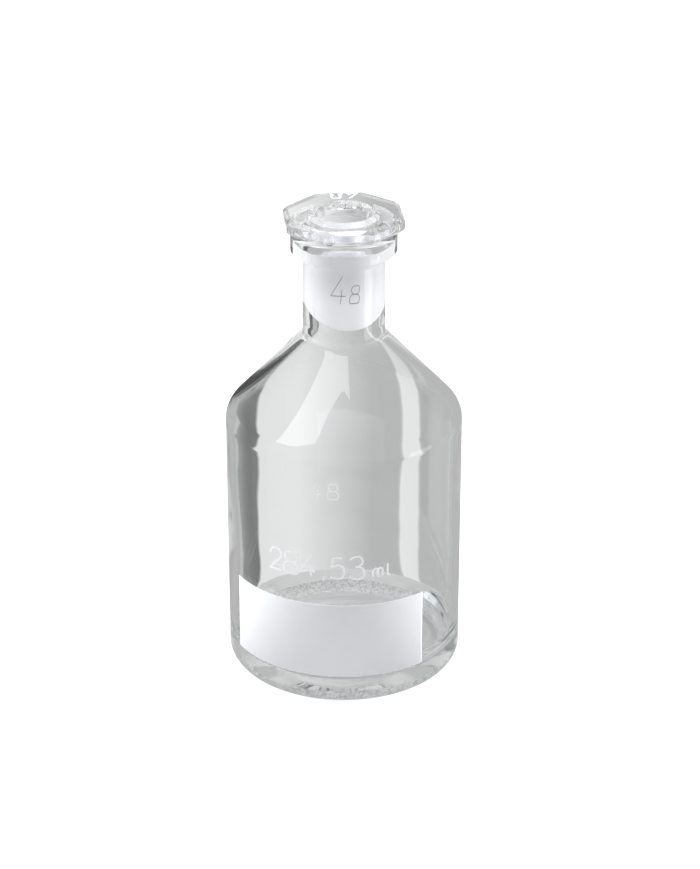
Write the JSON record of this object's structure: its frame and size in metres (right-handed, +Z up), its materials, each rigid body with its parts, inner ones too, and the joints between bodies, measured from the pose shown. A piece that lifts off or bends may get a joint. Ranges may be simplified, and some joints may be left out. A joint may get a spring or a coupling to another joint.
{
  "type": "bod bottle",
  "caption": "Narrow-mouth clear glass oxygen-demand bottle with a sloping shoulder, fired writing panel and a ground, slant-footed glass stopper with an eight-sided head.",
  "frame": {"origin": "centre of the bearing ring under the base", "axes": "+Z up the bottle's axis to the stopper; -Y out through the middle of the writing panel"},
  "size_m": [0.07, 0.0701, 0.1439],
  "materials": {
    "bottle_glass": "clear moulded soda-lime glass, ground inside the neck",
    "stopper_glass": "clear pressed glass with a finely ground plug",
    "white_enamel": "matt fired enamel, rough enough for pencil"
  },
  "bodies": {
    "bottle": {"bottle": "bottle_glass", "writing_panel": "white_enamel"},
    "stopper": {"stopper": "stopper_glass"}
  },
  "joints": [
    {"name": "stopper_lift", "type": "slide", "parent": "bottle", "child": "stopper", "axis": [0, 0, 1], "range_m": [0, 0.04]}
  ]
}
